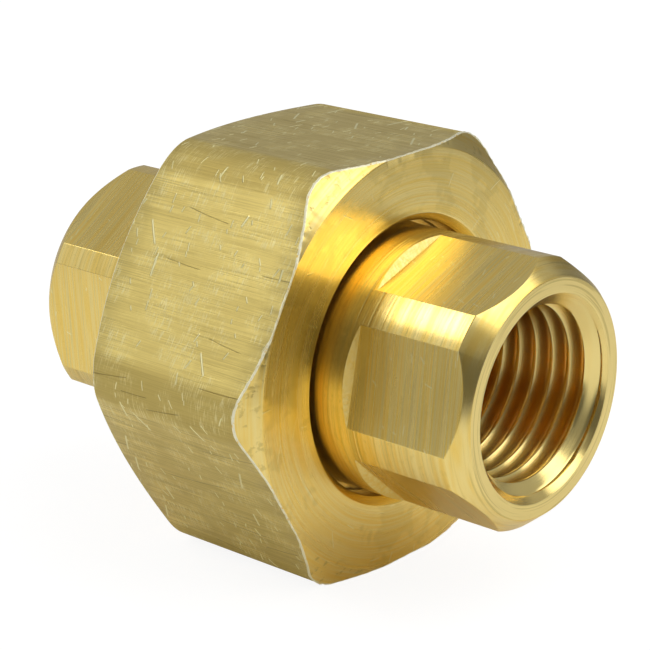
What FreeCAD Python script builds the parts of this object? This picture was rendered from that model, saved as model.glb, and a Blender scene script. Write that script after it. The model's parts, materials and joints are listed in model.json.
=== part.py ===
import FreeCAD, Part
import math
import os
import Sketcher

# A straight brass union fitting: a hexagon union nut draws the tailpiece's ball nose into the
# conical seat of the threaded end. Both ends have a female G 1/4 pipe thread.
#
# Millimetres. The flow axis is X, the tailpiece's mouth points to +X, and the nut's flats face
# up and down along Z. The origin is on the flow axis, halfway along the closed fitting.

# Every driving dimension: (alias in the spreadsheet, value, what it is). Angles are in degrees.
DRIVING_SIZES = [
    ("overall_length", 37.2, "mouth to mouth, closed"),
    ("mouth_to_nut", 11.1, "how far the tailpiece stands out of the nut"),
    ("nut_length", 14.5, "the hexagon's full length"),
    ("nut_across_flats", 28.0, "spanner size of the nut"),
    ("nut_corner_radius", 3.25, "rounding of the drawn bar's six corners"),
    ("nut_front_circle", 14.15, "radius where the front chamfer meets the face"),
    ("nut_front_angle", 35.0, "front chamfer, measured from the face"),
    ("nut_rear_circle", 13.8, "radius where the rear chamfer meets the face"),
    ("nut_rear_angle", 30.0, "rear chamfer, measured from the face"),
    ("collar_bore", 9.3, "radius of the hole the neck passes through"),
    ("collar_bevel", 0.55, "45 degree bevel at that hole's front edge"),
    ("collar_thickness", 2.4, "the nut's inner lip that pulls on the flange"),
    ("edge_break", 0.25, "small bevel on turned edges"),
    ("barrel_radius", 8.9, "turned outside of both ends"),
    ("tailpiece_across_flats", 16.5, "milled spanner flats"),
    ("threaded_end_across_flats", 16.1, "milled spanner flats"),
    ("shoulder_gap", 1.85, "plain neck between the nut and the flats' shoulder"),
    ("shoulder_angle", 65.0, "slope of the flats' shoulder, measured from the axis"),
    ("tailpiece_clocking", -11.5, "turn of the tailpiece's flats about +X"),
    ("threaded_end_clocking", 1.0, "turn of the threaded end's flats about +X"),
    ("mouth_circle", 7.85, "radius where the outer chamfer meets the mouth's face"),
    ("mouth_chamfer", 1.29, "length of that chamfer along the axis"),
    ("countersink", 6.85, "radius of the countersink at the mouth's face"),
    ("pipe_pitch", 1.337, "19 threads to the inch"),
    ("pipe_minor", 5.7225, "radius of the tapping bore"),
    ("pipe_major", 6.5785, "radius at the bottom of the pipe thread"),
    ("pipe_flank", 27.5, "half of the 55 degree thread angle"),
    ("pipe_truncation", 0.214, "a sixth of the sharp thread's height"),
    ("thread_depth", 9.4, "full pipe thread, from the mouth"),
    ("tapping_depth", 10.6, "tapping bore, from the mouth"),
    ("drill_angle", 59.0, "half of the drill point's angle"),
    ("waterway", 4.75, "radius of the through bore"),
    ("flange_radius", 11.0, "the tailpiece's flange behind the collar"),
    ("flange_thickness", 3.0, "length of the flange along the axis"),
    ("face_gap", 0.03, "between the collar and the flange"),
    ("ball_radius", 8.6, "the tailpiece's spherical nose"),
    ("ball_setback", 1.5, "ball centre, in front of the flange's rear face"),
    ("nose_length", 5.1, "flange's rear face to the nose's tip"),
    ("seat_angle", 45.0, "seat cone's half angle"),
    ("seat_gap", 0.02, "between the ball and its seat"),
    ("seat_mouth_gap", 0.8, "flange's rear face to the threaded end's front face"),
    ("coupling_pitch", 1.5, "M24 x 1.5 coupling thread"),
    ("coupling_major", 12.0, "nominal radius"),
    ("coupling_height", 0.812, "radial depth of the nut's thread"),
    ("coupling_flank", 30.0, "half of the 60 degree thread angle"),
    ("coupling_play", 0.08, "clearance of the coupling thread, radial and axial"),
    ("coupling_length", 7.8, "length of the male coupling thread"),
    ("relief_length", 1.6, "plain groove between the nut's thread and its collar"),
    ("entry_chamfer", 1.0, "lead-in of the nut's thread"),
    ("overrun", 1.0, "how far a cutter runs past an edge"),
]

AXIS = "on the axis"

# Stations along the flow axis, as spreadsheet expressions.
FRONT_MOUTH = "(sizes.overall_length / 2)"
REAR_MOUTH = "(-sizes.overall_length / 2)"
NUT_FRONT = f"({FRONT_MOUTH} - sizes.mouth_to_nut)"
NUT_REAR = f"({NUT_FRONT} - sizes.nut_length)"
COLLAR_FACE = f"({NUT_FRONT} - sizes.collar_thickness)"
FLANGE_FRONT = f"({COLLAR_FACE} - sizes.face_gap)"
FLANGE_REAR = f"({FLANGE_FRONT} - sizes.flange_thickness)"
NOSE_TIP = f"({FLANGE_REAR} - sizes.nose_length)"
BALL_CENTRE = f"({FLANGE_REAR} + sizes.ball_setback)"
SEAT_FRONT = f"({FLANGE_REAR} - sizes.seat_mouth_gap)"
COUPLING_REAR = f"({SEAT_FRONT} - sizes.coupling_length)"

# Radii of the coupling thread: the nut's, and the male one, which is smaller by the play.
NUT_MINOR = "(sizes.coupling_major - sizes.coupling_height)"
NUT_MAJOR = "(sizes.coupling_major + sizes.coupling_play / 2)"
MALE_MINOR = f"({NUT_MINOR} - 2 * sizes.coupling_play)"
MALE_MAJOR = "(sizes.coupling_major - sizes.coupling_play)"

# The sharp seat cone touches the ball where the ball's radius is square to the cone; the gap
# moves the cone away from the ball's centre. This is where the cone's line would meet the axis.
SEAT_APEX = f"({BALL_CENTRE} - (sizes.ball_radius + sizes.seat_gap) / sin(sizes.seat_angle))"


def seat_radius(station):
    """The seat cone's radius at a station on the flow axis."""
    return f"(({station} - {SEAT_APEX}) * tan(sizes.seat_angle))"


def seat_station(radius):
    """Where the seat cone has this radius."""
    return f"({SEAT_APEX} + {radius} / tan(sizes.seat_angle))"


def make_sheet(doc):
    """The spreadsheet of driving dimensions."""
    sheet = doc.addObject("Spreadsheet::Sheet", "sizes")
    for row, (alias, value, meaning) in enumerate(DRIVING_SIZES, start=1):
        sheet.set(f"A{row}", alias.replace("_", " "))
        sheet.set(f"B{row}", str(value))
        sheet.setAlias(f"B{row}", alias)
        sheet.set(f"C{row}", meaning)
    doc.recompute()


def number(body, expression):
    """The present value of a spreadsheet expression."""
    return float(body.evalExpression(expression))


def origin_feature(body, role):
    """One of the body's own planes or axes."""
    return next(part for part in body.Origin.OriginFeatures if part.Role == role)


def new_sketch(body, name, plane):
    """A sketch of the body, in one of the planes through the origin."""
    sketch = body.newObject("Sketcher::SketchObject", name)
    sketch.AttachmentSupport = [(origin_feature(body, plane), "")]
    sketch.MapMode = "FlatFace"
    return sketch


def bind(sketch, constraint, name, expression):
    """Adds a constraint under a name and ties its value to the spreadsheet."""
    index = sketch.addConstraint(constraint)
    sketch.renameConstraint(index, name)
    sketch.setExpression(f"Constraints.{name}", expression)


def lengthwise_sketch(body, name, corners, ball=None):
    """A closed outline in the plane that holds the flow axis.

    Each corner is (station, radius), two expressions; a radius may be AXIS. ball is
    (corner number, centre station, radius): the edge that leaves that corner is an arc about a
    point of the axis, and the radii at its two ends, given as None, follow from it.
    """
    sketch = new_sketch(body, name, "XZ_Plane")
    arc_edge, centre, ball_size = None, 0.0, 0.0
    if ball:
        arc_edge = ball[0]
        centre = number(body, ball[1])
        ball_size = number(body, ball[2])
    points = []
    for station, radius in corners:
        along = number(body, station)
        if radius is None:
            out = math.sqrt(ball_size**2 - (along - centre) ** 2)
        else:
            out = 0.0 if radius == AXIS else number(body, radius)
        points.append(FreeCAD.Vector(along, out, 0))
    for i, start in enumerate(points):
        end = points[(i + 1) % len(points)]
        if i == arc_edge:
            middle = FreeCAD.Vector(centre, 0, 0)
            angles = [math.atan2(point.y, point.x - centre) for point in (start, end)]
            circle = Part.Circle(middle, FreeCAD.Vector(0, 0, 1), ball_size)
            sketch.addGeometry(Part.ArcOfCircle(circle, *angles), False)
        else:
            sketch.addGeometry(Part.LineSegment(start, end), False)
    for i in range(len(points)):
        following = (i + 1) % len(points)
        sketch.addConstraint(Sketcher.Constraint("Coincident", i, 2, following, 1))
    for i, (station, radius) in enumerate(corners):
        along = Sketcher.Constraint("DistanceX", -1, 1, i, 1, points[i].x)
        bind(sketch, along, f"station_{i}", station)
        if radius == AXIS:
            sketch.addConstraint(Sketcher.Constraint("PointOnObject", i, 1, -1))
        elif radius is not None:
            out = Sketcher.Constraint("DistanceY", -1, 1, i, 1, points[i].y)
            bind(sketch, out, f"radius_{i}", radius)
    if ball:
        sketch.addConstraint(Sketcher.Constraint("PointOnObject", arc_edge, 3, -1))
        along = Sketcher.Constraint("DistanceX", -1, 1, arc_edge, 3, centre)
        bind(sketch, along, "ball_centre", ball[1])
        size = Sketcher.Constraint("Radius", arc_edge, ball_size)
        bind(sketch, size, "ball_radius", ball[2])
    return sketch


def turn(body, kind, name, corners, ball=None):
    """Revolves an outline about the flow axis: kind is Revolution to add, Groove to cut."""
    sketch = lengthwise_sketch(body, f"{name}_outline", corners, ball)
    feature = body.newObject(f"PartDesign::{kind}", name)
    feature.Profile = sketch
    feature.ReferenceAxis = (sketch, ["H_Axis"])
    feature.Angle = 360
    return feature


def turned_blank(body, corners, ball=None):
    """A turned blank, as a half turn and its mirror image. The halves' faces stay apart, so that
    each turn of a thread's crest is two half-turn faces."""
    half = turn(body, "Revolution", "half_blank", corners, ball)
    half.Angle = 180
    half.Refine = False
    blank = body.newObject("PartDesign::Mirrored", "turned_blank")
    blank.Originals = [half]
    blank.MirrorPlane = (origin_feature(body, "XZ_Plane"), [""])
    blank.Refine = False
    body.Tip = blank
    return blank


def cut_thread(body, name, groove, pitch, run):
    """Cuts a right-hand helical groove whose section is the outline groove, starting where that
    outline is drawn and running a distance towards +X."""
    sketch = lengthwise_sketch(body, f"{name}_section", groove)
    feature = body.newObject("PartDesign::SubtractiveHelix", name)
    feature.Profile = sketch
    feature.ReferenceAxis = (sketch, ["H_Axis"])
    feature.Mode = "pitch-height-angle"
    feature.setExpression("Pitch", pitch)
    feature.setExpression("Height", run)
    feature.LeftHanded = False
    feature.Refine = False
    return feature


def groove_section(centre, root, root_half, open_side, flank):
    """A thread groove's four corners: its flat root, half as wide as root_half says, and flanks
    that lean apart towards the radius of the open side."""
    open_half = f"({root_half} + abs({open_side} - {root}) * tan({flank}))"
    return [
        (f"({centre} - {root_half})", root),
        (f"({centre} + {root_half})", root),
        (f"({centre} + {open_half})", open_side),
        (f"({centre} - {open_half})", open_side),
    ]


def pipe_thread(body, name, first_turn, run):
    """Taps the female pipe thread of one end."""
    root_half = "(sizes.pipe_truncation * tan(sizes.pipe_flank))"
    open_side = "(sizes.pipe_minor - sizes.pipe_truncation / 2)"
    groove = groove_section(
        first_turn, "sizes.pipe_major", root_half, open_side, "sizes.pipe_flank"
    )
    return cut_thread(body, name, groove, "sizes.pipe_pitch", run)


def mill_flats(body, name, shoulder, mouth, across, clocking, towards):
    """Mills one flat from its sloping shoulder to beyond the mouth, then repeats it six times
    round. towards is "+" or "-": the way along X from the shoulder to the mouth."""
    back = "-" if towards == "+" else "+"
    flat = f"({across} / 2)"
    clear = "(sizes.barrel_radius + sizes.overrun)"
    slope = "tan(sizes.shoulder_angle)"
    corners = [
        (f"({shoulder} {towards} (sizes.barrel_radius - {flat}) / {slope})", flat),
        (f"({mouth} {towards} sizes.overrun)", flat),
        (f"({mouth} {towards} sizes.overrun)", clear),
        (f"({shoulder} {back} sizes.overrun / {slope})", clear),
    ]
    sketch = lengthwise_sketch(body, f"{name}_outline", corners)
    about_the_axis = FreeCAD.Rotation(FreeCAD.Vector(1, 0, 0), 90)
    sketch.AttachmentOffset = FreeCAD.Placement(FreeCAD.Vector(), about_the_axis)
    sketch.setExpression("AttachmentOffset.Rotation.Angle", f"90 + {clocking}")

    flat_cut = body.newObject("PartDesign::Pocket", name)
    flat_cut.Profile = sketch
    flat_cut.setExpression("Length", "sizes.barrel_radius")
    flat_cut.Midplane = True
    flat_cut.Refine = False

    pattern = body.newObject("PartDesign::PolarPattern", f"{name}_pattern")
    pattern.Originals = [flat_cut]
    pattern.Axis = (origin_feature(body, "X_Axis"), [""])
    pattern.Angle = 360
    pattern.Occurrences = 6
    pattern.Refine = False
    body.Tip = pattern
    return pattern


def new_body(doc, label):
    """An empty body in the part's own frame."""
    body = doc.addObject("PartDesign::Body", label)
    body.Label = label
    body.Placement = FreeCAD.Placement()
    return body


def union_nut(doc):
    """The hexagon nut: rounded bar, chamfered corners, collar at the front, thread behind."""
    body = new_body(doc, "union_nut")

    hexagon = new_sketch(body, "hexagon", "YZ_Plane")
    hexagon.setExpression("AttachmentOffset.Base.z", NUT_REAR)
    sharp_corner = "(sizes.nut_across_flats / 2 / cos(30))"
    corner_reach = number(body, sharp_corner)
    corners = [
        FreeCAD.Vector(
            corner_reach * math.cos(math.radians(60 * i)),
            corner_reach * math.sin(math.radians(60 * i)),
            0,
        )
        for i in range(6)
    ]
    for i in range(6):
        hexagon.addGeometry(Part.LineSegment(corners[i], corners[(i + 1) % 6]), False)
    circle = Part.Circle(FreeCAD.Vector(0, 0, 0), FreeCAD.Vector(0, 0, 1), corner_reach)
    through_corners = hexagon.addGeometry(circle, True)
    hexagon.addConstraint(Sketcher.Constraint("Coincident", through_corners, 3, -1, 1))
    for i in range(6):
        hexagon.addConstraint(Sketcher.Constraint("Coincident", i, 2, (i + 1) % 6, 1))
        hexagon.addConstraint(
            Sketcher.Constraint("PointOnObject", i, 1, through_corners)
        )
    for i in range(1, 6):
        hexagon.addConstraint(Sketcher.Constraint("Equal", 0, i))
    hexagon.addConstraint(Sketcher.Constraint("PointOnObject", 0, 1, -1))
    reach = Sketcher.Constraint("Radius", through_corners, corner_reach)
    bind(hexagon, reach, "corner_reach", sharp_corner)

    bar = body.newObject("PartDesign::Pad", "hexagon_bar")
    bar.Profile = hexagon
    bar.setExpression("Length", "sizes.nut_length")
    doc.recompute()

    rounded = body.newObject("PartDesign::Fillet", "bar_corners")
    lengthwise = [
        f"Edge{i}"
        for i, edge in enumerate(bar.Shape.Edges, start=1)
        if abs(edge.tangentAt(edge.FirstParameter).x) > 0.99
    ]
    rounded.Base = (bar, lengthwise)
    rounded.setExpression("Radius", "sizes.nut_corner_radius")

    outside = f"({sharp_corner} + sizes.overrun)"
    for name, face, circle_radius, angle, inwards in (
        ("front_chamfer", NUT_FRONT, "sizes.nut_front_circle", "sizes.nut_front_angle", "-"),
        ("rear_chamfer", NUT_REAR, "sizes.nut_rear_circle", "sizes.nut_rear_angle", "+"),
    ):
        depth = f"({outside} - {circle_radius}) * tan({angle})"
        turn(
            body,
            "Groove",
            name,
            [
                (face, circle_radius),
                (face, outside),
                (f"({face} {inwards} {depth})", outside),
            ],
        )

    relief_end = f"({COLLAR_FACE} - sizes.relief_length)"
    relief = f"({NUT_MAJOR} + sizes.coupling_play)"
    turn(
        body,
        "Groove",
        "bore",
        [
            (NUT_FRONT, AXIS),
            (NUT_FRONT, "(sizes.collar_bore + sizes.collar_bevel)"),
            (f"({NUT_FRONT} - sizes.collar_bevel)", "sizes.collar_bore"),
            (f"({COLLAR_FACE} + sizes.edge_break)", "sizes.collar_bore"),
            (COLLAR_FACE, "(sizes.collar_bore + sizes.edge_break)"),
            (COLLAR_FACE, relief),
            (relief_end, relief),
            (f"({relief_end} - ({relief} - {NUT_MINOR}))", NUT_MINOR),
            (f"({NUT_REAR} + sizes.entry_chamfer)", NUT_MINOR),
            (NUT_REAR, f"({NUT_MINOR} + sizes.entry_chamfer)"),
            (NUT_REAR, AXIS),
        ],
    )

    # Half a pitch out of step with the male thread, so that ridges lie in grooves.
    first_turn = f"({COUPLING_REAR} - sizes.overrun - sizes.coupling_pitch / 2)"
    groove = groove_section(
        first_turn,
        NUT_MAJOR,
        "(sizes.coupling_pitch / 16 + sizes.coupling_play / 2)",
        f"({NUT_MINOR} - sizes.coupling_play)",
        "sizes.coupling_flank",
    )
    last_turn = f"({COLLAR_FACE} - sizes.relief_length / 2)"
    cut_thread(
        body,
        "coupling_thread",
        groove,
        "sizes.coupling_pitch",
        f"({last_turn} - {first_turn})",
    )
    return body


def tailpiece(doc):
    """The front end: barrel with a pipe thread, flange behind the collar, and ball nose."""
    body = new_body(doc, "tailpiece")
    nose_inside = "(sizes.waterway + sizes.edge_break)"
    tapping_end = f"({FRONT_MOUTH} - sizes.tapping_depth)"
    drill_point = "((sizes.pipe_minor - sizes.waterway) / tan(sizes.drill_angle))"
    turned_blank(
        body,
        [
            (f"({FLANGE_REAR} + sizes.edge_break)", "sizes.flange_radius"),
            (FLANGE_REAR, "(sizes.flange_radius - sizes.edge_break)"),
            (FLANGE_REAR, None),
            (NOSE_TIP, None),
            (NOSE_TIP, nose_inside),
            (f"({NOSE_TIP} + sizes.edge_break)", "sizes.waterway"),
            (f"({tapping_end} - {drill_point})", "sizes.waterway"),
            (tapping_end, "sizes.pipe_minor"),
            (f"({FRONT_MOUTH} - sizes.countersink + sizes.pipe_minor)", "sizes.pipe_minor"),
            (FRONT_MOUTH, "sizes.countersink"),
            (FRONT_MOUTH, "sizes.mouth_circle"),
            (f"({FRONT_MOUTH} - sizes.mouth_chamfer)", "sizes.barrel_radius"),
            (FLANGE_FRONT, "sizes.barrel_radius"),
            (FLANGE_FRONT, "(sizes.flange_radius - sizes.edge_break)"),
            (f"({FLANGE_FRONT} - sizes.edge_break)", "sizes.flange_radius"),
        ],
        ball=(2, BALL_CENTRE, "sizes.ball_radius"),
    )
    mill_flats(
        body,
        "spanner_flats",
        f"({NUT_FRONT} + sizes.shoulder_gap)",
        FRONT_MOUTH,
        "sizes.tailpiece_across_flats",
        "sizes.tailpiece_clocking",
        "+",
    )
    first_turn = f"({FRONT_MOUTH} - sizes.thread_depth)"
    pipe_thread(body, "pipe_thread", first_turn, "(sizes.thread_depth + sizes.overrun)")
    return body


def threaded_end(doc):
    """The rear end: barrel with a pipe thread, male coupling thread, and conical seat."""
    body = new_body(doc, "threaded_end")
    tapping_end = f"({REAR_MOUTH} + sizes.tapping_depth)"
    drill_point = "((sizes.pipe_minor - sizes.waterway) / tan(sizes.drill_angle))"
    thread_height = f"({MALE_MAJOR} - {MALE_MINOR})"
    turned_blank(
        body,
        [
            (REAR_MOUTH, "sizes.mouth_circle"),
            (REAR_MOUTH, "sizes.countersink"),
            (f"({REAR_MOUTH} + sizes.countersink - sizes.pipe_minor)", "sizes.pipe_minor"),
            (tapping_end, "sizes.pipe_minor"),
            (f"({tapping_end} + {drill_point})", "sizes.waterway"),
            (seat_station("sizes.waterway"), "sizes.waterway"),
            (SEAT_FRONT, seat_radius(SEAT_FRONT)),
            (SEAT_FRONT, MALE_MINOR),
            (f"({SEAT_FRONT} - {thread_height})", MALE_MAJOR),
            (f"({COUPLING_REAR} + {thread_height})", MALE_MAJOR),
            (COUPLING_REAR, MALE_MINOR),
            (COUPLING_REAR, "sizes.barrel_radius"),
            (f"({REAR_MOUTH} + sizes.mouth_chamfer)", "sizes.barrel_radius"),
        ],
    )
    mill_flats(
        body,
        "spanner_flats",
        f"({NUT_REAR} - sizes.shoulder_gap)",
        REAR_MOUTH,
        "sizes.threaded_end_across_flats",
        "sizes.threaded_end_clocking",
        "-",
    )
    first_turn = f"({COUPLING_REAR} - sizes.overrun)"
    groove = groove_section(
        first_turn,
        MALE_MINOR,
        "(sizes.coupling_pitch / 8 - sizes.coupling_play / 2)",
        "(sizes.coupling_major + sizes.coupling_play / 2)",
        "sizes.coupling_flank",
    )
    cut_thread(
        body,
        "coupling_thread",
        groove,
        "sizes.coupling_pitch",
        "(sizes.coupling_length + 2 * sizes.overrun)",
    )
    outside_mouth = f"({REAR_MOUTH} - sizes.overrun)"
    pipe_thread(body, "pipe_thread", outside_mouth, "(sizes.thread_depth + sizes.overrun)")
    return body


def check(doc, bodies):
    """Stops if any feature failed, cut nothing, or left a body that isn't one sound solid."""
    for item in doc.Objects:
        if {"Invalid", "Error"} & set(item.State):
            raise RuntimeError(f"{item.Name} failed: {item.State}")
    for body in bodies:
        shape = body.Shape
        if shape.isNull() or not shape.isValid() or len(shape.Solids) != 1:
            raise RuntimeError(f"{body.Label} isn't one sound solid")
        volumes = [
            feature.Shape.Volume
            for feature in body.Group
            if feature.isDerivedFrom("PartDesign::Feature")
        ]
        for before, after in zip(volumes, volumes[1:]):
            if abs(after - before) < 1e-3:
                raise RuntimeError(f"a feature of {body.Label} changed nothing")


def main():
    doc = FreeCAD.newDocument("union_fitting")
    make_sheet(doc)
    bodies = [union_nut(doc), tailpiece(doc), threaded_end(doc)]
    doc.recompute()
    check(doc, bodies)
    os.makedirs("parts", exist_ok=True)
    for body in bodies:
        body.Shape.exportStep(f"parts/{body.Label}.step")
        box = body.Shape.BoundBox
        print(f"{body.Label}: {body.Shape.Volume:.1f} mm3, x {box.XMin:.3f} to {box.XMax:.3f}")


main()
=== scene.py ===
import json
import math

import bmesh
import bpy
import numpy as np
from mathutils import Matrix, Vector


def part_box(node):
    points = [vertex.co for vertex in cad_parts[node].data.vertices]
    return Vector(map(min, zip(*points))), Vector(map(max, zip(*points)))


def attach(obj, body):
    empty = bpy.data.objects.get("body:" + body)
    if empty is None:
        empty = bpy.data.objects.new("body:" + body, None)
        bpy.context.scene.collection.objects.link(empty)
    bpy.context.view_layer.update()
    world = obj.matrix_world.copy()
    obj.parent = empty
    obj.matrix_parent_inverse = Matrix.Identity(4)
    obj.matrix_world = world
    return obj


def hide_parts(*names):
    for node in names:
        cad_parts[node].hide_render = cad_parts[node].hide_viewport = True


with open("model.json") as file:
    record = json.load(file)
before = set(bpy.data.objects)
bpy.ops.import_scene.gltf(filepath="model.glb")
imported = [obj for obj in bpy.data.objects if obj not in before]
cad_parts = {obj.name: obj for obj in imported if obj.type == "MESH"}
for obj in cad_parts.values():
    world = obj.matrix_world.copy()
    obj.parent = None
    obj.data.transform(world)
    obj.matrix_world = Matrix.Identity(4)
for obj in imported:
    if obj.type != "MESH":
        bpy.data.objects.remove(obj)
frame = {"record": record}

# The looks of a straight brass union fitting. Each CAD piece is replaced by a finer skin of the
# same shape, with rounded and burred edges, and painted with procedural brass: drawn bar on the
# nut's flats, lathe marks on turned faces, milling marks on the spanner flats.
#
# Shapes are worked out in millimetres: x along the flow axis, r out from it, and an angle round
# it that starts at the top (+Z) and turns by the right-hand rule about +X.

MM = 0.001
TURN = 2 * math.pi
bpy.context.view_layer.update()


# ---------------------------------------------------------------- sizes, from the CAD frame

def reach(node, corner, axis):
    """One side of a CAD node's box, in millimetres: corner 0 is low, 1 is high."""
    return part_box(node)[corner][axis] / MM


FRONT_MOUTH = reach("tailpiece", 1, 0)
REAR_MOUTH = reach("threaded_end", 0, 0)
NUT_FRONT = reach("union_nut", 1, 0)
NUT_REAR = reach("union_nut", 0, 0)
NUT_FLAT = reach("union_nut", 1, 2)
NOSE_TIP = reach("tailpiece", 0, 0)
FLANGE = reach("tailpiece", 1, 2)
MALE_FRONT = reach("threaded_end", 1, 0)
MALE_MAJOR = reach("threaded_end", 1, 2)
PIPE_MINOR = frame["record"]["mounts"][0]["dims"]["r_mm"]

BARREL = 8.9
TAILPIECE_FLAT = 8.25           # from the axis to a spanner flat
THREADED_END_FLAT = 8.05
TAILPIECE_FIRST_FLAT = 78.5     # degrees from the top to the middle of a flat
THREADED_END_FIRST_FLAT = 91.0
NECK = 1.85                     # plain barrel between the nut and the flats' shoulder
SHOULDER_SLOPE = math.tan(math.radians(65))
MOUTH_CIRCLE = 7.85
MOUTH_CHAMFER = 1.29
COUNTERSINK = 6.85
PIPE_PITCH = 1.337
PIPE_MAJOR = 6.5785
PIPE_ROOT_HALF = 0.1114
PIPE_SLOPE = math.tan(math.radians(27.5))
THREAD_DEPTH = 9.4
TAPPING_DEPTH = 10.6
DRILL_POINT = 0.584
WATERWAY = 4.75
THREAD_RUN_OUT = 0.6            # past the full depth, where the groove fades away
EDGE = 0.25                     # bevels on turned edges

NUT_CORNER = 3.25
NUT_FRONT_CIRCLE = 14.15        # where the front chamfer meets the nut's face
NUT_FRONT_SLOPE = 35            # degrees between that chamfer and the face
NUT_REAR_CIRCLE = 13.8
NUT_REAR_SLOPE = 30
BURR_STEP = 0.06                # how far inside the flats the burr's root lies
BURR_HEIGHT = 0.045
COLLAR_BORE = 9.3
COLLAR_BEVEL = 0.55
COLLAR_FACE = NUT_FRONT - 2.4
COLLAR_GAP = 0.03
FLANGE_FRONT = COLLAR_FACE - COLLAR_GAP
FLANGE_REAR = FLANGE_FRONT - 3.0
BALL = 8.6
BALL_CENTRE = FLANGE_REAR + 1.5
SEAT_GAP = 0.02
SEAT_APEX = BALL_CENTRE - (BALL + SEAT_GAP) * math.sqrt(2)

COUPLING_PITCH = 1.5
COUPLING_SLOPE = math.tan(math.radians(30))
NUT_MINOR = 11.188
NUT_MAJOR = 12.04
RELIEF = 12.12                  # undercut between the nut's thread and its collar
RELIEF_FRONT = COLLAR_FACE - 1.6
MALE_MINOR = 11.028
MALE_REAR = MALE_FRONT - 7.8
MALE_FIRST_TURN = MALE_REAR - 1
SHARP_BEND = 32                 # degrees; a sharper bend is shaded as an edge


# ---------------------------------------------------------------- noise along a line or a ring

def ring_noise(angles, cells, seed, sharpness=1.0):
    """Smooth noise from -1 to 1 that joins up with itself after a full turn."""
    levels = np.random.default_rng(seed).uniform(-1, 1, cells)
    place = np.mod(angles / TURN, 1.0) * cells
    low = np.floor(place).astype(int) % cells
    share = place - np.floor(place)
    share = share * share * (3 - 2 * share)
    value = levels[low] * (1 - share) + levels[(low + 1) % cells] * share
    return np.sign(value) * np.abs(value) ** sharpness


def soft_min(a, b, ease):
    return 0.5 * (a + b - np.sqrt((a - b) ** 2 + ease**2))


def soft_max(a, b, ease):
    return -soft_min(-a, -b, ease)


# ---------------------------------------------------------------- skins built from meridians

def columns(first_flat, marks):
    """Angles round the axis, the same in each of six sectors. marks lists (degrees from the
    middle of a flat, how many steps to the next mark); the last mark ends the sector."""
    sector = []
    for (start, steps), (end, _) in zip(marks, marks[1:]):
        sector += list(np.linspace(start, end, steps, endpoint=False))
    turns = [np.array(sector) + first_flat + 60 * i for i in range(6)]
    angles = np.radians(np.concatenate(turns))
    return np.append(angles, angles[0] + TURN)


def off_flat(angles, first_flat):
    """Angle from the middle of the nearest flat, in radians."""
    return np.mod(angles - math.radians(first_flat) + TURN / 12, TURN / 6) - TURN / 12


class Skin:
    """A closed ring-shaped skin: rows of points, each row with one (x, r) for every column, and
    the finish of the strip between each row and the next."""

    def __init__(self, angles):
        self.angles = angles
        self.corners = []

    def to(self, x, r, finish, steps=1, rounding=0.0):
        """Adds a corner. The strip that leads to it has this finish and number of steps."""
        width = len(self.angles)
        x = np.broadcast_to(np.asarray(x, float), (width,))
        r = np.broadcast_to(np.asarray(r, float), (width,))
        self.corners.append(("corner", x, r, finish, steps, rounding))
        return self

    def along(self, rows, finish):
        """Adds ready-made rows, such as a thread's: a list of (x, r) arrays."""
        self.corners.append(("rows", rows, finish))
        return self

    def rows(self):
        """All rows, corners rounded, as (x, r, finish of the strip before this row)."""
        count = len(self.corners)

        def end_point(i, last):
            entry = self.corners[i % count]
            if entry[0] == "corner":
                return entry[1], entry[2]
            return entry[1][-1 if last else 0]

        out = []
        for i, entry in enumerate(self.corners):
            if entry[0] == "rows":
                out += [(x, r, entry[2]) for x, r in entry[1]]
                continue
            _, x, r, finish, steps, rounding = entry
            before, after = end_point(i - 1, True), end_point(i + 1, False)
            back = np.stack([before[0] - x, before[1] - r])
            ahead = np.stack([after[0] - x, after[1] - r])
            back_length = np.maximum(np.hypot(*back), 1e-9)
            ahead_length = np.maximum(np.hypot(*ahead), 1e-9)
            cut = np.minimum(rounding, 0.4 * np.minimum(back_length, ahead_length))
            here = np.stack([x, r])
            enter = here + back / back_length * cut
            leave = here + ahead / ahead_length * cut
            if out:
                start = np.stack(out[-1][:2])
                for step in range(1, steps):
                    point = start + (enter - start) * step / steps
                    out.append((point[0], point[1], finish))
            bends = 3 if rounding else 0
            for bend in range(bends + 1):
                share = bend / bends if bends else 0.0
                point = (
                    enter * (1 - share) ** 2
                    + here * 2 * share * (1 - share)
                    + leave * share**2
                )
                out.append((point[0], point[1], finish))
        return out


def helix_rows(angles, start, end, pitch, per_pitch, centre_at_top, radius):
    """Rows of a threaded stretch that follow the helix, so that crests run along mesh lines.
    radius(x, s) gives the surface, where s is the distance from the nearest groove's middle."""
    low, high = min(start, end), max(start, end)
    lead = pitch * angles / TURN
    first = centre_at_top + pitch * math.floor((low - centre_at_top) / pitch - 2)
    count = int(math.ceil(((high - first) / pitch + 1) * per_pitch))
    rows = []
    for k in range(count):
        x = np.clip(first + k * pitch / per_pitch + lead, low, high)
        s = np.mod(x - lead - centre_at_top + pitch / 2, pitch) - pitch / 2
        rows.append((x, radius(x, s)))
    return rows if start < end else rows[::-1]


def joined_rows(count, width):
    """The corners of every face between each row and the next; the last row joins the first."""
    this = np.arange(count * width).reshape(count, width)
    following = np.roll(this, -1, axis=0)
    return np.stack(
        [this[:, :-1], this[:, 1:], following[:, 1:], following[:, :-1]], axis=-1
    ).reshape(-1, 4)


def strip_finishes(rows, finishes, zones):
    """The number of every face's finish, in the order of joined_rows. A finish may be a tuple,
    one finish for each zone number that a column may have in zones."""
    order = {finish: i for i, finish in enumerate(finishes)}
    paint = np.zeros((len(rows), len(zones) - 1), int)
    for i in range(len(rows)):
        finish = rows[(i + 1) % len(rows)][2]
        if isinstance(finish, tuple):
            paint[i] = np.array([order[name] for name in finish])[zones[:-1]]
        else:
            paint[i] = order[finish]
    return paint.ravel().astype(np.int32)


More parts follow.
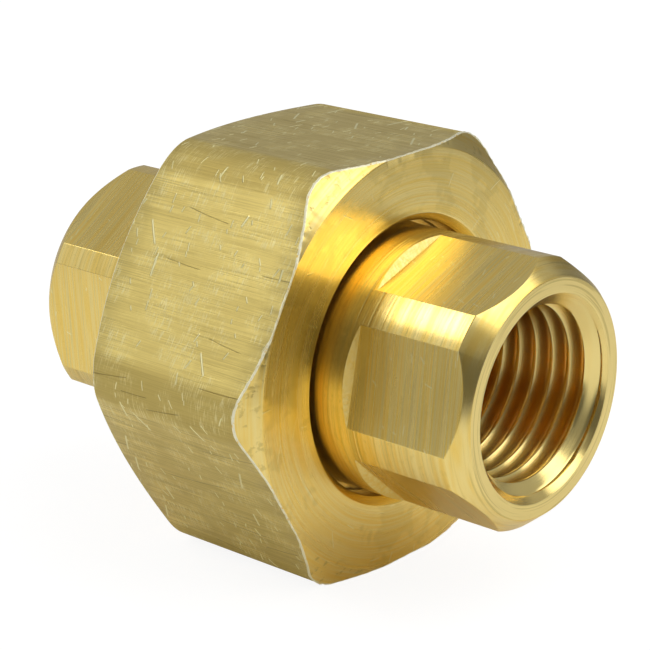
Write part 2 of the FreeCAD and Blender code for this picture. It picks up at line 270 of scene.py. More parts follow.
def make_piece(node, skin, finishes, zones):
    """Turns a skin into a mesh in the row frame that stands for a CAD node and rides on the body
    of the same name."""
    rows = skin.rows()
    x = np.array([row[0] for row in rows])
    r = np.array([row[1] for row in rows])
    points = np.stack([x, -r * np.sin(skin.angles), r * np.cos(skin.angles)], axis=-1) * MM
    quads = joined_rows(len(rows), len(skin.angles))

    name = f"{node}_skin"
    mesh = bpy.data.meshes.new(name)
    mesh.from_pydata(points.reshape(-1, 3).tolist(), [], quads.tolist())
    for finish in finishes:
        mesh.materials.append(finish_material(finish))
    mesh.polygons.foreach_set("material_index", strip_finishes(rows, finishes, zones))
    mesh.polygons.foreach_set("use_smooth", np.ones(len(quads), bool))
    shell = bmesh.new()
    shell.from_mesh(mesh)
    bmesh.ops.remove_doubles(shell, verts=shell.verts, dist=2e-7)
    bmesh.ops.recalc_face_normals(shell, faces=shell.faces)
    shell.to_mesh(mesh)
    shell.free()
    mesh.set_sharp_from_angle(angle=math.radians(SHARP_BEND))
    piece = bpy.data.objects.new(name, mesh)
    bpy.context.scene.collection.objects.link(piece)
    weighted = piece.modifiers.new("flat_faces_stay_flat", "WEIGHTED_NORMAL")
    weighted.weight = 60
    weighted.keep_sharp = True
    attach(piece, node)
    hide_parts(node)
    return piece


# ---------------------------------------------------------------- the three pieces

ON_BARREL, ON_FLAT = 0, 1


def pipe_radius(mouth, sign):
    """The tapped bore's radius: groove, tapping bore or countersink, whichever is widest."""
    def radius(x, s):
        inside = (mouth - x) * sign
        depth = np.clip((THREAD_DEPTH + 0.5 - inside) / 1.0, 0, 1)
        ease = 0.07
        groove = PIPE_MAJOR - np.maximum(
            np.sqrt(s**2 + ease**2) - ease / 2 - PIPE_ROOT_HALF, 0
        ) / PIPE_SLOPE
        groove = PIPE_MINOR + np.maximum(groove - PIPE_MINOR, -0.5) * depth
        wall = soft_max(np.full_like(groove, PIPE_MINOR), groove, 0.05)
        cone = COUNTERSINK - inside
        return soft_max(wall, cone, 0.03)
    return radius


def female_end(skin, mouth, sign, first_turn, inner_end):
    """The countersink, the pipe thread and the step down to the waterway, from the mouth in."""
    thread = helix_rows(
        skin.angles,
        mouth - sign * 0.2,
        mouth - sign * (THREAD_DEPTH + THREAD_RUN_OUT),
        PIPE_PITCH,
        16,
        first_turn,
        pipe_radius(mouth, sign),
    )
    skin.to(mouth, COUNTERSINK, "mouth_face", 5, 0.05)
    skin.along(thread, "thread")
    skin.to(mouth - sign * TAPPING_DEPTH, PIPE_MINOR, "bore", 2, 0.05)
    skin.to(mouth - sign * (TAPPING_DEPTH + DRILL_POINT), WATERWAY, "bore", 3, 0.05)
    skin.to(inner_end, WATERWAY, "bore", 8, 0.0)


def milled_barrel(skin, first_flat, distance, shoulder, mouth, sign):
    """The barrel from the flats' shoulder to the mouth's face, with its outer chamfer."""
    off = off_flat(skin.angles, first_flat)
    flat = np.minimum(BARREL, distance / np.cos(off))
    slope = (BARREL - MOUTH_CIRCLE) / MOUTH_CHAMFER
    edge = mouth - sign * (MOUTH_CHAMFER - (BARREL - flat) / slope)
    outermost = np.maximum(BARREL * np.cos(off), distance)
    foot = shoulder + sign * (BARREL - distance) / SHOULDER_SLOPE
    top = shoulder + sign * (BARREL - outermost) / SHOULDER_SLOPE
    skin.to(top, BARREL, "turned", 6, 0.0)
    skin.to(foot, flat, "shoulder", 3, 0.0)
    skin.to(edge, flat, ("turned", "milled"), 12, 0.05)
    skin.to(mouth, MOUTH_CIRCLE, "chamfer", 5, 0.06)


def flat_columns(first_flat, distance):
    """Columns for a barrel with six flats, close together at each flat's two long edges, and
    the zone of each."""
    half_width = math.degrees(math.acos(distance / BARREL))
    strip = 0.4
    marks = [
        (-30, 4),
        (-half_width - strip, 2),
        (-half_width, 2),
        (-half_width + strip, 20),
        (half_width - strip, 2),
        (half_width, 2),
        (half_width + strip, 4),
        (30, 0),
    ]
    angles = columns(first_flat, marks)
    off = np.degrees(np.abs(off_flat(angles + 1e-4, first_flat)))
    return angles, np.where(off < half_width, ON_FLAT, ON_BARREL)


def ball_rows(angles, start, end, steps):
    """The spherical nose between two stations."""
    rows = []
    for x in np.linspace(start, end, steps + 1):
        r = math.sqrt(BALL**2 - (x - BALL_CENTRE) ** 2)
        rows.append((np.full_like(angles, x), np.full_like(angles, r)))
    return rows


def make_tailpiece():
    angles, zones = flat_columns(TAILPIECE_FIRST_FLAT, TAILPIECE_FLAT)
    skin = Skin(angles)
    skin.to(FLANGE_FRONT, BARREL, "lathe_face", 1, 0.08)
    milled_barrel(
        skin, TAILPIECE_FIRST_FLAT, TAILPIECE_FLAT, NUT_FRONT + NECK, FRONT_MOUTH, 1
    )
    female_end(skin, FRONT_MOUTH, 1, FRONT_MOUTH - THREAD_DEPTH, NOSE_TIP + EDGE)
    skin.to(NOSE_TIP, WATERWAY + EDGE, "bore", 1, 0.0)
    tip = math.sqrt(BALL**2 - (NOSE_TIP - BALL_CENTRE) ** 2)
    skin.to(NOSE_TIP, tip, "lathe_face", 1, 0.0)
    skin.along(ball_rows(angles, NOSE_TIP, FLANGE_REAR, 12), "chamfer")
    skin.to(FLANGE_REAR, FLANGE - EDGE, "lathe_face", 3, 0.0)
    skin.to(FLANGE_REAR + EDGE, FLANGE, "turned", 1, 0.0)
    skin.to(FLANGE_FRONT - EDGE, FLANGE, "turned", 3, 0.0)
    skin.to(FLANGE_FRONT, FLANGE - EDGE, "turned", 1, 0.0)
    return make_piece("tailpiece", skin, END_FINISHES, zones)


def make_threaded_end():
    angles, zones = flat_columns(THREADED_END_FIRST_FLAT, THREADED_END_FLAT)

    def male_radius(x, s):
        ridge = MALE_MINOR + np.maximum(
            np.abs(s) - (COUPLING_PITCH / 8 - 0.04), 0
        ) / COUPLING_SLOPE
        crest = soft_min(np.full_like(ridge, MALE_MAJOR), ridge, 0.05)
        front = MALE_MINOR + MALE_FRONT - x
        rear = MALE_MINOR + x - MALE_REAR
        return np.maximum(np.minimum(crest, np.minimum(front, rear)), MALE_MINOR)

    thread = helix_rows(
        angles, MALE_FRONT, MALE_REAR, COUPLING_PITCH, 12, MALE_FIRST_TURN, male_radius
    )
    skin = Skin(angles)
    skin.to(MALE_FRONT, MALE_FRONT - SEAT_APEX, "chamfer", 4, 0.05)
    skin.to(MALE_FRONT, MALE_MINOR, "lathe_face", 2, 0.0)
    skin.along(thread, "thread")
    skin.to(MALE_REAR, BARREL, "lathe_face", 3, 0.0)
    milled_barrel(
        skin, THREADED_END_FIRST_FLAT, THREADED_END_FLAT, NUT_REAR - NECK, REAR_MOUTH, -1
    )
    female_end(skin, REAR_MOUTH, -1, REAR_MOUTH - 1, SEAT_APEX + WATERWAY)
    return make_piece("threaded_end", skin, END_FINISHES, zones)


def nut_outside(angles):
    """The hexagon bar's outside radius, with its rounded corners."""
    off = off_flat(angles, 0)
    flat = NUT_FLAT / np.cos(off)
    centre = (NUT_FLAT - NUT_CORNER) / math.cos(math.radians(30))
    from_corner = math.radians(30) - np.abs(off)
    inside = np.maximum(NUT_CORNER**2 - (centre * np.sin(from_corner)) ** 2, 0)
    corner = centre * np.cos(from_corner) + np.sqrt(inside)
    tangent = math.atan((NUT_FLAT - NUT_CORNER) * math.tan(math.radians(30)) / NUT_FLAT)
    return np.where(np.abs(off) < tangent, flat, corner)


def chamfered(outside, circle, degrees):
    """How far back from the nut's face its chamfer is where the radius is outside."""
    return np.maximum(outside - circle, 0) * math.tan(math.radians(degrees))


def make_union_nut():
    angles = columns(0, [(-30, 12), (-23.5, 104), (23.5, 12), (30, 0)])
    outside = nut_outside(angles)

    def nut_radius(x, s):
        groove = NUT_MAJOR - np.maximum(
            np.abs(s) - (COUPLING_PITCH / 16 + 0.04), 0
        ) / COUPLING_SLOPE
        wall = soft_max(np.full_like(groove, NUT_MINOR), groove, 0.05)
        entry = NUT_MINOR + 1 - (x - NUT_REAR)
        relief = RELIEF - (RELIEF_FRONT - x)
        return np.maximum(wall, np.maximum(entry, relief))

    first_turn = MALE_FIRST_TURN - COUPLING_PITCH / 2
    thread = helix_rows(
        angles, NUT_REAR, RELIEF_FRONT, COUPLING_PITCH, 6, first_turn, nut_radius
    )
    # A burr where the chamfer's tool left the drawn flats: it stands out and wanders.
    lip = BURR_HEIGHT + BURR_HEIGHT * ring_noise(angles, 380, 5)
    wander = 0.05 * ring_noise(angles, 330, 3, 1.5) + 0.05 * ring_noise(angles, 90, 4)
    burr_root = outside - BURR_STEP
    front_edge = NUT_FRONT - chamfered(outside, NUT_FRONT_CIRCLE, NUT_FRONT_SLOPE)
    front_inner = NUT_FRONT - chamfered(burr_root, NUT_FRONT_CIRCLE, NUT_FRONT_SLOPE)
    rear_edge = NUT_REAR + chamfered(outside, NUT_REAR_CIRCLE, NUT_REAR_SLOPE)
    skin = Skin(angles)
    skin.to(NUT_FRONT - COLLAR_BEVEL, COLLAR_BORE, "bore", 2, 0.04)
    skin.to(NUT_FRONT, COLLAR_BORE + COLLAR_BEVEL, "chamfer", 1, 0.06)
    skin.to(NUT_FRONT, np.minimum(burr_root, NUT_FRONT_CIRCLE), "lathe_face", 8, 0.04)
    skin.to(front_inner + 0.3 * wander, burr_root, "nut_chamfer", 2, 0.0)
    skin.to(front_edge + 0.5 * wander, outside + lip, "burr", 1, 0.0)
    skin.to(front_edge - 0.15 + wander, outside, "burr", 1, 0.0)
    skin.to(rear_edge + 0.06, outside, "drawn", 8, 0.0)
    skin.to(rear_edge, outside - 0.02, "burr", 1, 0.0)
    skin.to(NUT_REAR, NUT_REAR_CIRCLE, "nut_chamfer", 3, 0.08)
    skin.to(NUT_REAR, NUT_MINOR + 1, "lathe_face", 4, 0.0)
    skin.along(thread, "thread")
    skin.to(COLLAR_FACE, RELIEF, "bore", 2, 0.05)
    skin.to(COLLAR_FACE, COLLAR_BORE + EDGE, "lathe_face", 3, 0.05)
    skin.to(COLLAR_FACE + EDGE, COLLAR_BORE, "bore", 1, 0.05)
    zones = np.zeros(len(angles), int)
    return make_piece("union_nut", skin, NUT_FINISHES, zones)


# ---------------------------------------------------------------- brass, one finish per zone

class Shader:
    """A node material under construction. Its helpers take numbers or sockets and return the
    new node's first output."""

    def __init__(self, tree):
        self.tree = tree
        tree.nodes.clear()

    def node(self, kind, inputs=None, **settings):
        node = self.tree.nodes.new(kind)
        for key, value in settings.items():
            setattr(node, key, value)
        for key, value in (inputs or {}).items():
            if isinstance(value, bpy.types.NodeSocket):
                self.tree.links.new(value, node.inputs[key])
            else:
                node.inputs[key].default_value = value
        return node

    def math(self, operation, a, b=0.0, clamp=False):
        return self.node(
            "ShaderNodeMath", {0: a, 1: b}, operation=operation, use_clamp=clamp
        ).outputs[0]

    def vector(self, operation, a, b=(0, 0, 0)):
        node = self.node("ShaderNodeVectorMath", {0: a, 1: b}, operation=operation)
        return node.outputs["Value" if operation in ("LENGTH", "DOT_PRODUCT") else 0]

    def join(self, x, y, z=0.0):
        return self.node("ShaderNodeCombineXYZ", {0: x, 1: y, 2: z}).outputs[0]

    def noise(self, where, detail=2.0, roughness=0.6):
        inputs = {"Vector": where, "Scale": 1.0, "Detail": detail, "Roughness": roughness}
        return self.node("ShaderNodeTexNoise", inputs).outputs[0]

    def ramp(self, value, low, high, to_low=0.0, to_high=1.0):
        """Smooth step: to_low below low, to_high above high."""
        inputs = {"Value": value, "From Min": low, "From Max": high}
        inputs.update({"To Min": to_low, "To Max": to_high})
        return self.node(
            "ShaderNodeMapRange", inputs, interpolation_type="SMOOTHSTEP"
        ).outputs[0]

    def mix(self, share, a, b):
        inputs = {0: share, 6: a, 7: b}
        return self.node("ShaderNodeMix", inputs, data_type="RGBA").outputs[2]


class Brass(Shader):
    """The common part of every brass finish: where a point is, in millimetres, and the metal
    itself."""

    def __init__(self, name):
        self.material = bpy.data.materials.new("brass_" + name)
        self.material.use_nodes = True
        super().__init__(self.material.node_tree)
        place = self.node("ShaderNodeTexCoord").outputs["Object"]
        self.place = self.vector("SCALE", place)
        self.place.node.inputs["Scale"].default_value = 1 / MM
        axes = self.node("ShaderNodeSeparateXYZ", {0: self.place}).outputs
        self.x, self.y, self.z = axes
        self.outward = self.join(0.0, self.y, self.z)
        self.r = self.vector("LENGTH", self.outward)
        self.heading = self.vector("NORMALIZE", self.outward)
        self.angle = self.math("ARCTAN2", self.math("MULTIPLY", self.y, -1.0), self.z)
        self.round = self.vector("CROSS_PRODUCT", (1, 0, 0), self.heading)

    def rings(self, across, per_mm, wander, detail=2.0):
        """Marks that run round the axis. across is the coordinate they are spaced along."""
        slow = self.vector("SCALE", self.heading)
        slow.node.inputs["Scale"].default_value = wander
        line = self.join(self.math("MULTIPLY", across, per_mm), 0.0)
        return self.noise(self.vector("ADD", line, slow), detail)

    def arc(self, radius):
        """Distance round the axis, in millimetres, for marks near this radius."""
        return self.math("MULTIPLY", self.angle, radius)

    def scales(self, a, b, size_a, size_b, turn=0.0):
        """A flat coordinate from two, turned by some degrees and stretched per direction."""
        cos, sin = math.cos(math.radians(turn)), math.sin(math.radians(turn))
        along = self.math(
            "ADD", self.math("MULTIPLY", a, cos / size_a), self.math("MULTIPLY", b, sin / size_a)
        )
        across = self.math(
            "SUBTRACT",
            self.math("MULTIPLY", b, cos / size_b),
            self.math("MULTIPLY", a, sin / size_b),
        )
        return self.join(along, across)

    def nicks(self, a, b, cell, length, width, turn, spread, share):
        """Scratches scattered one to a cell, in millimetres: 1 on a scratch, 0 off it. They lie
        turn degrees from direction a, give or take half of spread. share of the cells have one."""
        where = self.scales(a, b, cell, cell)
        cells = self.node(
            "ShaderNodeTexVoronoi", {"Vector": where, "Scale": 1.0}, voronoi_dimensions="2D"
        )
        offset = self.vector("SUBTRACT", where, cells.outputs["Position"])
        da, db, _ = self.node("ShaderNodeSeparateXYZ", {0: offset}).outputs
        turned, sized, chosen = self.node(
            "ShaderNodeSeparateXYZ", {0: cells.outputs["Color"]}
        ).outputs
        low, high = math.radians(turn - spread / 2), math.radians(turn + spread / 2)
        way = self.ramp(turned, 0.0, 1.0, low, high)
        cos, sin = self.math("COSINE", way), self.math("SINE", way)
        along = self.math("ADD", self.math("MULTIPLY", da, cos), self.math("MULTIPLY", db, sin))
        across = self.math(
            "SUBTRACT", self.math("MULTIPLY", db, cos), self.math("MULTIPLY", da, sin)
        )
        bow = self.math("MULTIPLY", self.math("MULTIPLY", along, along), 0.05)
        across = self.math("ABSOLUTE", self.math("ADD", across, bow))
        reach = self.ramp(sized, 0.0, 1.0, 0.2 * length / cell, 0.5 * length / cell)
        along = self.math("DIVIDE", self.math("ABSOLUTE", along), reach)
        narrow = self.ramp(across, 0.2 * width / cell, 0.6 * width / cell, 1.0, 0.0)
        short = self.ramp(along, 0.75, 1.0, 1.0, 0.0)
        mark = self.math("MULTIPLY", narrow, short)
        return self.math("MULTIPLY", mark, self.math("LESS_THAN", chosen, share))

    def finish(self, colour, roughness, height, microns, stretch=0.0, across=True):
        """Ends the material. height (0 to 1) is surface relief of the given depth. stretch is
        how much more the fine marks scatter light across themselves than along; across tells
        whether they run round the axis."""
        bump = self.node(
            "ShaderNodeBump", {"Height": height, "Strength": 1.0, "Distance": microns * 1e-6}
        ).outputs[0]
        inputs = {
            "Base Color": colour,
            "Metallic": 1.0,
            "Roughness": roughness,
            "Normal": bump,
            "Anisotropic": stretch,
            "Anisotropic Rotation": 0.25 if across else 0.0,
            "Tangent": self.round,
        }
        metal = self.node("ShaderNodeBsdfPrincipled", inputs).outputs[0]
        self.node("ShaderNodeOutputMaterial", {0: metal})
        return self.material


PALE = (0.95, 0.76, 0.29, 1)
GOLD = (0.93, 0.66, 0.16, 1)
# Painted shade: the next two colours are deeper brass for the bores and threads, standing in for
# the dark of those recesses.
DEEP_SHADE = (0.90, 0.56, 0.10, 1)
COPPERY_SHADE = (0.88, 0.52, 0.12, 1)
OLIVE = (0.55, 0.42, 0.12, 1)
DARK = (0.26, 0.18, 0.05, 1)
SCRATCH = (1.0, 0.93, 0.52, 1)
CREAM = (1.0, 0.96, 0.72, 1)
BAR = (0.92, 0.74, 0.25, 1)
BAR_DULL = (0.60, 0.47, 0.15, 1)


def drawn_brass():
    """Drawn hexagon bar: fine axial streaks, brushed patches, small nicks, dark scratches, and
    duller rounded corners."""
    m = Brass("drawn")
    around = m.arc(14.6)
    fine = m.noise(m.scales(m.x, around, 7.0, 0.075), 3.0)
    broad = m.noise(m.scales(m.x, around, 9.0, 0.6), 2.0)
    cloud = m.noise(m.scales(m.x, around, 3.2, 2.6), 3.0)
    brushed = m.noise(m.scales(m.x, around, 0.09, 1.0, 4), 2.0)
    streak = m.math("ADD", m.math("MULTIPLY", fine, 0.72), m.math("MULTIPLY", broad, 0.28))
    line = m.ramp(m.noise(m.scales(m.x, around, 5.0, 0.11), 1.0), 0.60, 0.72)
    brush = m.math("MULTIPLY", m.ramp(brushed, 0.50, 0.64), m.ramp(cloud, 0.42, 0.58))
    ticks = m.nicks(m.x, around, 0.9, 0.8, 0.10, 86, 60, 0.22)
    gouges = m.nicks(m.x, around, 2.6, 2.0, 0.16, 84, 60, 0.28)
    long_marks = m.nicks(m.x, around, 4.5, 7.0, 0.08, 0, 14, 0.6)
    marks = m.math("MAXIMUM", ticks, gouges)
    corner = m.ramp(m.r, 15.15, 15.5)
    colour = m.mix(m.ramp(streak, 0.36, 0.60), BAR_DULL, BAR)
    colour = m.mix(m.ramp(cloud, 0.42, 0.62, 0.45, 0.0), colour, BAR_DULL)
    colour = m.mix(m.math("MULTIPLY", corner, 0.75), colour, BAR_DULL)
    colour = m.mix(m.math("MULTIPLY", line, 0.45), colour, OLIVE)
    colour = m.mix(m.math("MULTIPLY", brush, 0.5), colour, SCRATCH)
    colour = m.mix(m.math("MULTIPLY", long_marks, 0.6), colour, DARK)
    colour = m.mix(marks, colour, SCRATCH)
    roughness = m.ramp(streak, 0.3, 0.7, 0.42, 0.30)
    roughness = m.math("ADD", roughness, m.math("MULTIPLY", corner, 0.22))
    height = m.math("SUBTRACT", streak, m.math("MULTIPLY", line, 0.5))
    height = m.math("ADD", height, m.math("MULTIPLY", brush, 0.6))
    height = m.math("ADD", height, m.math("MULTIPLY", marks, 2.5))
    height = m.math("SUBTRACT", height, m.math("MULTIPLY", long_marks, 1.5))
    return m.finish(colour, roughness, height, 9.0, 0.6, across=False)


def burr_brass():
    """A torn edge: bright cream, partly freshly bent metal and partly a painted highlight where
    the lip catches light, with deeper gaps.
    """
    m = Brass("burr")
    tear = m.noise(m.vector("MULTIPLY", m.place, (4.0, 4.0, 4.0)), 2.0)
    # Partly painted highlight: the near-white cream stands in for light caught by the lip, as well
    # as fresh metal.
    colour = m.mix(m.ramp(tear, 0.30, 0.40), GOLD, CREAM)
    return m.finish(colour, 0.55, tear, 20.0)


def lathe_face_brass():
    """A faced end: concentric tool marks that flash across the turning direction."""
    m = Brass("lathe_face")
    fine = m.rings(m.r, 8.0, 1.5, 3.0)
    coarse = m.rings(m.r, 1.7, 0.7, 2.0)
    cloud = m.noise(m.vector("MULTIPLY", m.place, (0.3, 0.3, 0.3)), 3.0)
    around = m.arc(12.0)
    nick = m.nicks(m.r, around, 1.7, 1.6, 0.09, 40, 120, 0.30)
    height = m.math("ADD", m.math("MULTIPLY", fine, 0.5), m.math("MULTIPLY", coarse, 0.9))
    height = m.math("ADD", height, m.math("MULTIPLY", nick, 0.4))
    colour = m.mix(m.ramp(fine, 0.3, 0.7), GOLD, PALE)
    colour = m.mix(m.ramp(cloud, 0.50, 0.56, 0.0, 0.25), colour, OLIVE)
    colour = m.mix(m.math("MULTIPLY", nick, 0.5), colour, SCRATCH)
    return m.finish(colour, m.ramp(coarse, 0.3, 0.7, 0.19, 0.29), height, 9.0, 0.85)


def nut_chamfer_brass():
    """The chamfers that cut the hexagon's corners: coarse arcs, torn in places."""
    m = Brass("nut_chamfer")
    fine = m.rings(m.r, 5.0, 2.5, 3.0)
    torn = m.ramp(m.noise(m.vector("MULTIPLY", m.place, (1.6, 1.6, 1.6)), 3.0), 0.55, 0.66)
    colour = m.mix(m.ramp(fine, 0.3, 0.7), GOLD, PALE)
    colour = m.mix(m.math("MULTIPLY", torn, 0.5), colour, OLIVE)
    height = m.math("SUBTRACT", fine, m.math("MULTIPLY", torn, 0.6))
    return m.finish(colour, 0.30, height, 12.0, 0.6)


def mouth_face_brass():
    """The narrow face at a mouth: a few clear rings."""
    m = Brass("mouth_face")
    fine = m.rings(m.r, 7.0, 1.0, 1.0)
    ring = m.ramp(fine, 0.55, 0.64)
    colour = m.mix(m.math("MULTIPLY", ring, 0.5), PALE, OLIVE)
    return m.finish(colour, 0.34, fine, 10.0, 0.4)


def turned_brass():
    """A turned barrel: rings at the tool's feed, with strong ones where the tool stopped, near
    the shoulder of the tailpiece's flats."""
    m = Brass("turned")
    fine = m.rings(m.x, 8.0, 1.2, 2.0)
    coarse = m.rings(m.x, 2.6, 0.9, 2.0)
    strong = m.ramp(m.rings(m.x, 4.2, 0.5, 0.0), 0.52, 0.64)
    from_shoulder = m.math("ABSOLUTE", m.math("SUBTRACT", m.x, NUT_FRONT + NECK + 0.3))
    strong = m.math("MULTIPLY", strong, m.ramp(from_shoulder, 0.7, 1.9, 1.0, 0.25))
    speck = m.noise(m.vector("MULTIPLY", m.place, (3.0, 3.0, 3.0)), 3.0)
    height = m.math("ADD", m.math("MULTIPLY", fine, 0.7), m.math("MULTIPLY", coarse, 0.6))
    height = m.math("SUBTRACT", height, m.math("MULTIPLY", strong, 1.0))
    colour = m.mix(m.ramp(coarse, 0.3, 0.7), GOLD, PALE)
    colour = m.mix(m.ramp(fine, 0.52, 0.66, 0.0, 0.35), colour, OLIVE)
    colour = m.mix(m.math("MULTIPLY", strong, 0.5), colour, OLIVE)
    colour = m.mix(m.ramp(speck, 0.58, 0.70, 0.0, 0.3), colour, OLIVE)
    return m.finish(colour, 0.24, height, 12.0, 0.7)


def milled_brass():
    """A milled flat: lines across the axis, some of them swept, and small nicks."""
    m = Brass("milled")
    around = m.arc(8.6)
    lines = m.noise(m.scales(around, m.x, 9.0, 0.15, 3), 1.0)
    broad = m.noise(m.scales(around, m.x, 14.0, 0.9, 3), 2.0)
    sweep = m.noise(m.scales(around, m.x, 6.0, 0.35, -20), 1.0)
    height = m.math("ADD", lines, m.math("MULTIPLY", sweep, 0.4))
    height = m.math("ADD", height, m.math("MULTIPLY", broad, 0.5))
    nick = m.nicks(m.x, around, 1.1, 0.7, 0.10, 60, 90, 0.25)
    colour = m.mix(m.ramp(lines, 0.35, 0.65), GOLD, PALE)
    colour = m.mix(m.ramp(lines, 0.55, 0.68, 0.0, 0.35), colour, OLIVE)
    colour = m.mix(m.math("MULTIPLY", nick, 0.6), colour, SCRATCH)
    return m.finish(colour, m.ramp(broad, 0.3, 0.7, 0.22, 0.30), height, 5.0, 0.5)


def shoulder_brass():
    """The sloping shoulder of a flat: smooth, with a few marks from the cutter."""
    m = Brass("shoulder")
    fine = m.noise(m.vector("MULTIPLY", m.place, (1.0, 4.0, 4.0)), 3.0)
    colour = m.mix(m.ramp(fine, 0.3, 0.7), GOLD, PALE)
    return m.finish(colour, 0.22, fine, 4.0)


def chamfer_brass():
    """A turned bevel: fine rings only."""
    m = Brass("chamfer")
    fine = m.rings(m.r, 10.0, 1.0, 2.0)
    coarse = m.rings(m.r, 2.4, 1.8, 2.0)
    height = m.math("ADD", fine, coarse)
    colour = m.mix(m.ramp(coarse, 0.3, 0.7), GOLD, PALE)
    colour = m.mix(m.ramp(fine, 0.55, 0.70, 0.0, 0.4), colour, OLIVE)
    return m.finish(colour, 0.26, height, 8.0, 0.7)


def thread_brass():
    """Cut threads: pale at the pipe thread's crests and the countersink as a painted highlight,
    coppery and deeper in the grooves as painted shade.
    """
    m = Brass("thread")
    fine = m.rings(m.math("ADD", m.x, m.r), 7.0, 3.0, 3.0)
    front, rear = m.math("SUBTRACT", FRONT_MOUTH, m.x), m.math("SUBTRACT", m.x, REAR_MOUTH)
    inside = m.math("MINIMUM", front, rear)
    cone = m.math("SUBTRACT", COUNTERSINK, inside)
    # Painted highlight: the countersink and the pipe thread's crests are painted pale.
    countersink_highlight = m.ramp(m.math("SUBTRACT", m.r, cone), -0.10, 0.03, 0.0, 1.0)
    countersink_highlight = m.math("MULTIPLY", countersink_highlight, m.math("LESS_THAN", inside, 1.4))
    crest = m.ramp(m.r, PIPE_MINOR + 0.05, PIPE_MINOR + 0.45, 1.0, 0.0)
    # Painted shade: the coppery colour over the thread stands in for the dark of the grooves.
    colour = m.mix(m.ramp(fine, 0.3, 0.7), COPPERY_SHADE, GOLD)
    colour = m.mix(m.math("MAXIMUM", countersink_highlight, crest), colour, PALE)
    roughness = m.ramp(countersink_highlight, 0.0, 1.0, 0.22, 0.20)
    return m.finish(colour, roughness, fine, 7.0, 0.9)


def bore_brass():
    """Drilled or bored walls that are seen only from inside, painted deeper than the outside as
    painted shade.
    """
    m = Brass("bore")
    fine = m.rings(m.x, 6.0, 0.8, 3.0)
    # Painted shade: the deep colour stands in for the dark inside the bore.
    colour = m.mix(m.ramp(fine, 0.3, 0.7), DEEP_SHADE, GOLD)
    return m.finish(colour, 0.26, fine, 8.0, 0.6)


MAKERS = {
    "bore": bore_brass,
    "burr": burr_brass,
    "chamfer": chamfer_brass,
    "drawn": drawn_brass,
    "lathe_face": lathe_face_brass,
    "milled": milled_brass,
    "mouth_face": mouth_face_brass,
    "nut_chamfer": nut_chamfer_brass,
    "shoulder": shoulder_brass,
    "thread": thread_brass,
    "turned": turned_brass,
}
NUT_FINISHES = ["bore", "burr", "chamfer", "drawn", "lathe_face", "nut_chamfer", "thread"]
END_FINISHES = [
    "bore",
    "chamfer",
    "lathe_face",
    "milled",
    "mouth_face",
    "shoulder",
    "thread",
    "turned",
]
finished = {}


def finish_material(finish):
    """Each finish's material is made once and shared."""
    if finish not in finished:
        finished[finish] = MAKERS[finish]()
    return finished[finish]


# ---------------------------------------------------------------- floor, light and camera

GLOW_SHARE = 0.8                # how much of the visible floor is white whatever the light
LIFT = 0.10                     # white added on top, so that only contact shadows show


def make_floor(height):
    """A wide pale floor. Seen directly it is near white, with a softened shadow. The metal sees
    a matt floor lit by the room, with a painted falloff: darker away from the fitting."""
    bpy.ops.mesh.primitive_plane_add(size=4.0, location=(0, 0, height))
    floor = bpy.context.object
    floor.name = "floor"
    material = bpy.data.materials.new("pale_floor")
    material.use_nodes = True
    m = Shader(material.node_tree)
    place = m.node("ShaderNodeTexCoord").outputs["Object"]
    grain = m.ramp(m.noise(m.vector("MULTIPLY", place, (40, 40, 40))), 0.3, 0.7, 0.97, 1.0)
    # Painted light: the floor that the metal sees is painted darker away from the fitting, a
    # painted falloff of the room's light.
    near = m.ramp(m.vector("LENGTH", place), 0.05, 0.16, 1.0, 0.40)
    grain_and_painted_falloff = m.math("MULTIPLY", grain, near)
    matt = m.node("ShaderNodeBsdfDiffuse", {"Color": grain_and_painted_falloff}).outputs[0]
    glow = m.node("ShaderNodeEmission", {"Color": (1, 1, 1, 1), "Strength": 1.0}).outputs[0]
    lit = m.node("ShaderNodeBsdfDiffuse", {"Color": (0.9, 0.9, 0.9, 1)}).outputs[0]
    shown = m.node("ShaderNodeMixShader", {0: GLOW_SHARE, 1: lit, 2: glow}).outputs[0]
    lift = m.node("ShaderNodeEmission", {"Color": (1, 1, 1, 1), "Strength": LIFT}).outputs[0]
    shown = m.node("ShaderNodeAddShader", {0: shown, 1: lift}).outputs[0]
    seen = m.node("ShaderNodeLightPath").outputs["Is Camera Ray"]
    mixed = m.node("ShaderNodeMixShader", {0: seen, 1: matt, 2: shown}).outputs[0]
    m.node("ShaderNodeOutputMaterial", {0: mixed})
    floor.data.materials.append(material)


def toward(azimuth, elevation):
    """A direction: azimuth from +X towards +Y and elevation above the floor, in degrees."""
    az, el = math.radians(azimuth), math.radians(elevation)
    return (math.cos(az) * math.cos(el), math.sin(az) * math.cos(el), math.sin(el))


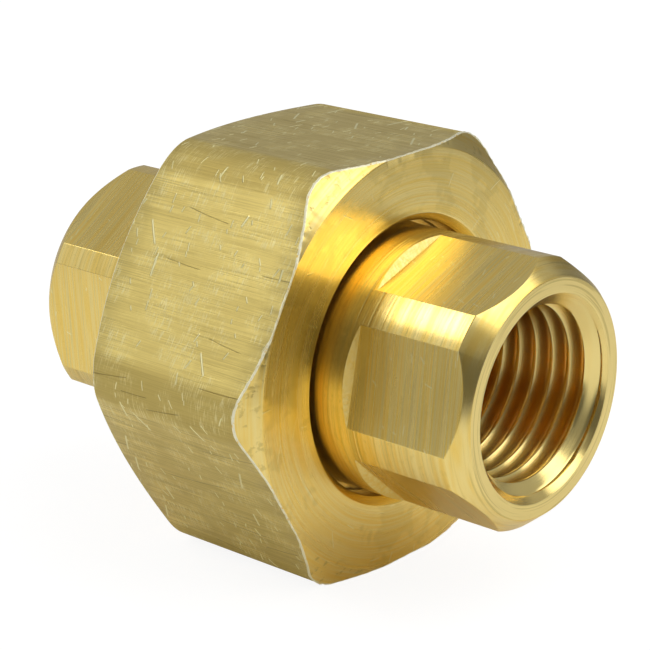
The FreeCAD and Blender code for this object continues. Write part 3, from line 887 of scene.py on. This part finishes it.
def make_world(room, dark_sides, lamps):
    """White to the camera. To everything else, a plain room with dark sides and soft lamps.
    Each lobe has an azimuth, an elevation, the degrees from its middle to the end of its core
    and to its soft edge, and its brightness."""
    world = bpy.data.worlds.new("studio")
    bpy.context.scene.world = world
    world.use_nodes = True
    w = Shader(world.node_tree)
    ray = w.vector("NORMALIZE", w.node("ShaderNodeTexCoord").outputs["Generated"])

    def lobe(azimuth, elevation, core, edge, outside, inside):
        facing = w.vector("DOT_PRODUCT", ray, toward(azimuth, elevation))
        far, near = math.cos(math.radians(edge)), math.cos(math.radians(core))
        return w.ramp(facing, far, near, outside, inside)

    light = room
    for azimuth, elevation, core, edge, brightness in dark_sides:
        light = w.math("MINIMUM", light, lobe(azimuth, elevation, core, edge, room, brightness))
    for azimuth, elevation, core, edge, brightness in lamps:
        lamp = lobe(azimuth, elevation, core, edge, 0.0, brightness)
        light = w.math("MAXIMUM", light, lamp)
    dim = w.node("ShaderNodeBackground", {"Color": light}).outputs[0]
    white = w.node("ShaderNodeBackground", {"Color": (1, 1, 1, 1)}).outputs[0]
    seen = w.node("ShaderNodeLightPath").outputs["Is Camera Ray"]
    mixed = w.node("ShaderNodeMixShader", {0: seen, 1: dim, 2: white}).outputs[0]
    w.node("ShaderNodeOutputWorld", {0: mixed})


def make_camera(azimuth, elevation, roll, target, aside, distance, lens, shift):
    """Looks along a direction: azimuth 0 is along +Y, 90 is from +X. It stands distance from
    target and is moved aside, to its right and up. All of these are in millimetres."""
    az, el = math.radians(azimuth), math.radians(elevation)
    back = Vector(
        (math.sin(az) * math.cos(el), -math.cos(az) * math.cos(el), math.sin(el))
    )
    right = Vector((0, 0, 1)).cross(back).normalized()
    up = back.cross(right)
    turn = Matrix.Rotation(math.radians(roll), 3, back)
    right, up = turn @ right, turn @ up
    camera = bpy.data.objects.new("camera", bpy.data.cameras.new("camera"))
    bpy.context.scene.collection.objects.link(camera)
    place = Vector(target) + right * aside[0] + up * aside[1] + back * distance
    rows = Matrix((right, up, back)).transposed().to_4x4()
    camera.matrix_world = Matrix.Translation(place * MM) @ rows
    camera.data.sensor_width = 36
    camera.data.lens = lens
    camera.data.shift_x, camera.data.shift_y = shift
    camera.data.clip_start = 0.005
    bpy.context.scene.camera = camera


make_tailpiece()
make_threaded_end()
make_union_nut()
make_floor(-NUT_FLAT * MM)
make_world(
    room=0.40,
    dark_sides=[(-38, 4, 18, 58, 0.12), (88, 6, 10, 28, 0.20)],
    lamps=[
        (-147, 49, 6, 15, 4.0),
        (-140, 29, 20, 46, 0.70),
        (24, 57, 16, 35, 2.2),
        (25, 21, 7, 14, 2.2),
        (26, 4, 5, 13, 1.5),
        (-34, 48, 8, 24, 0.42),
    ],
)
make_camera(
    azimuth=41.05,
    elevation=18.94,
    roll=-0.27,
    target=(1.69, 0, 0),
    aside=(-1.20, 1.19),
    distance=151.9,
    lens=125.2,
    shift=(0.0029, -0.0018),
)
bpy.context.scene.view_settings.view_transform = "Standard"
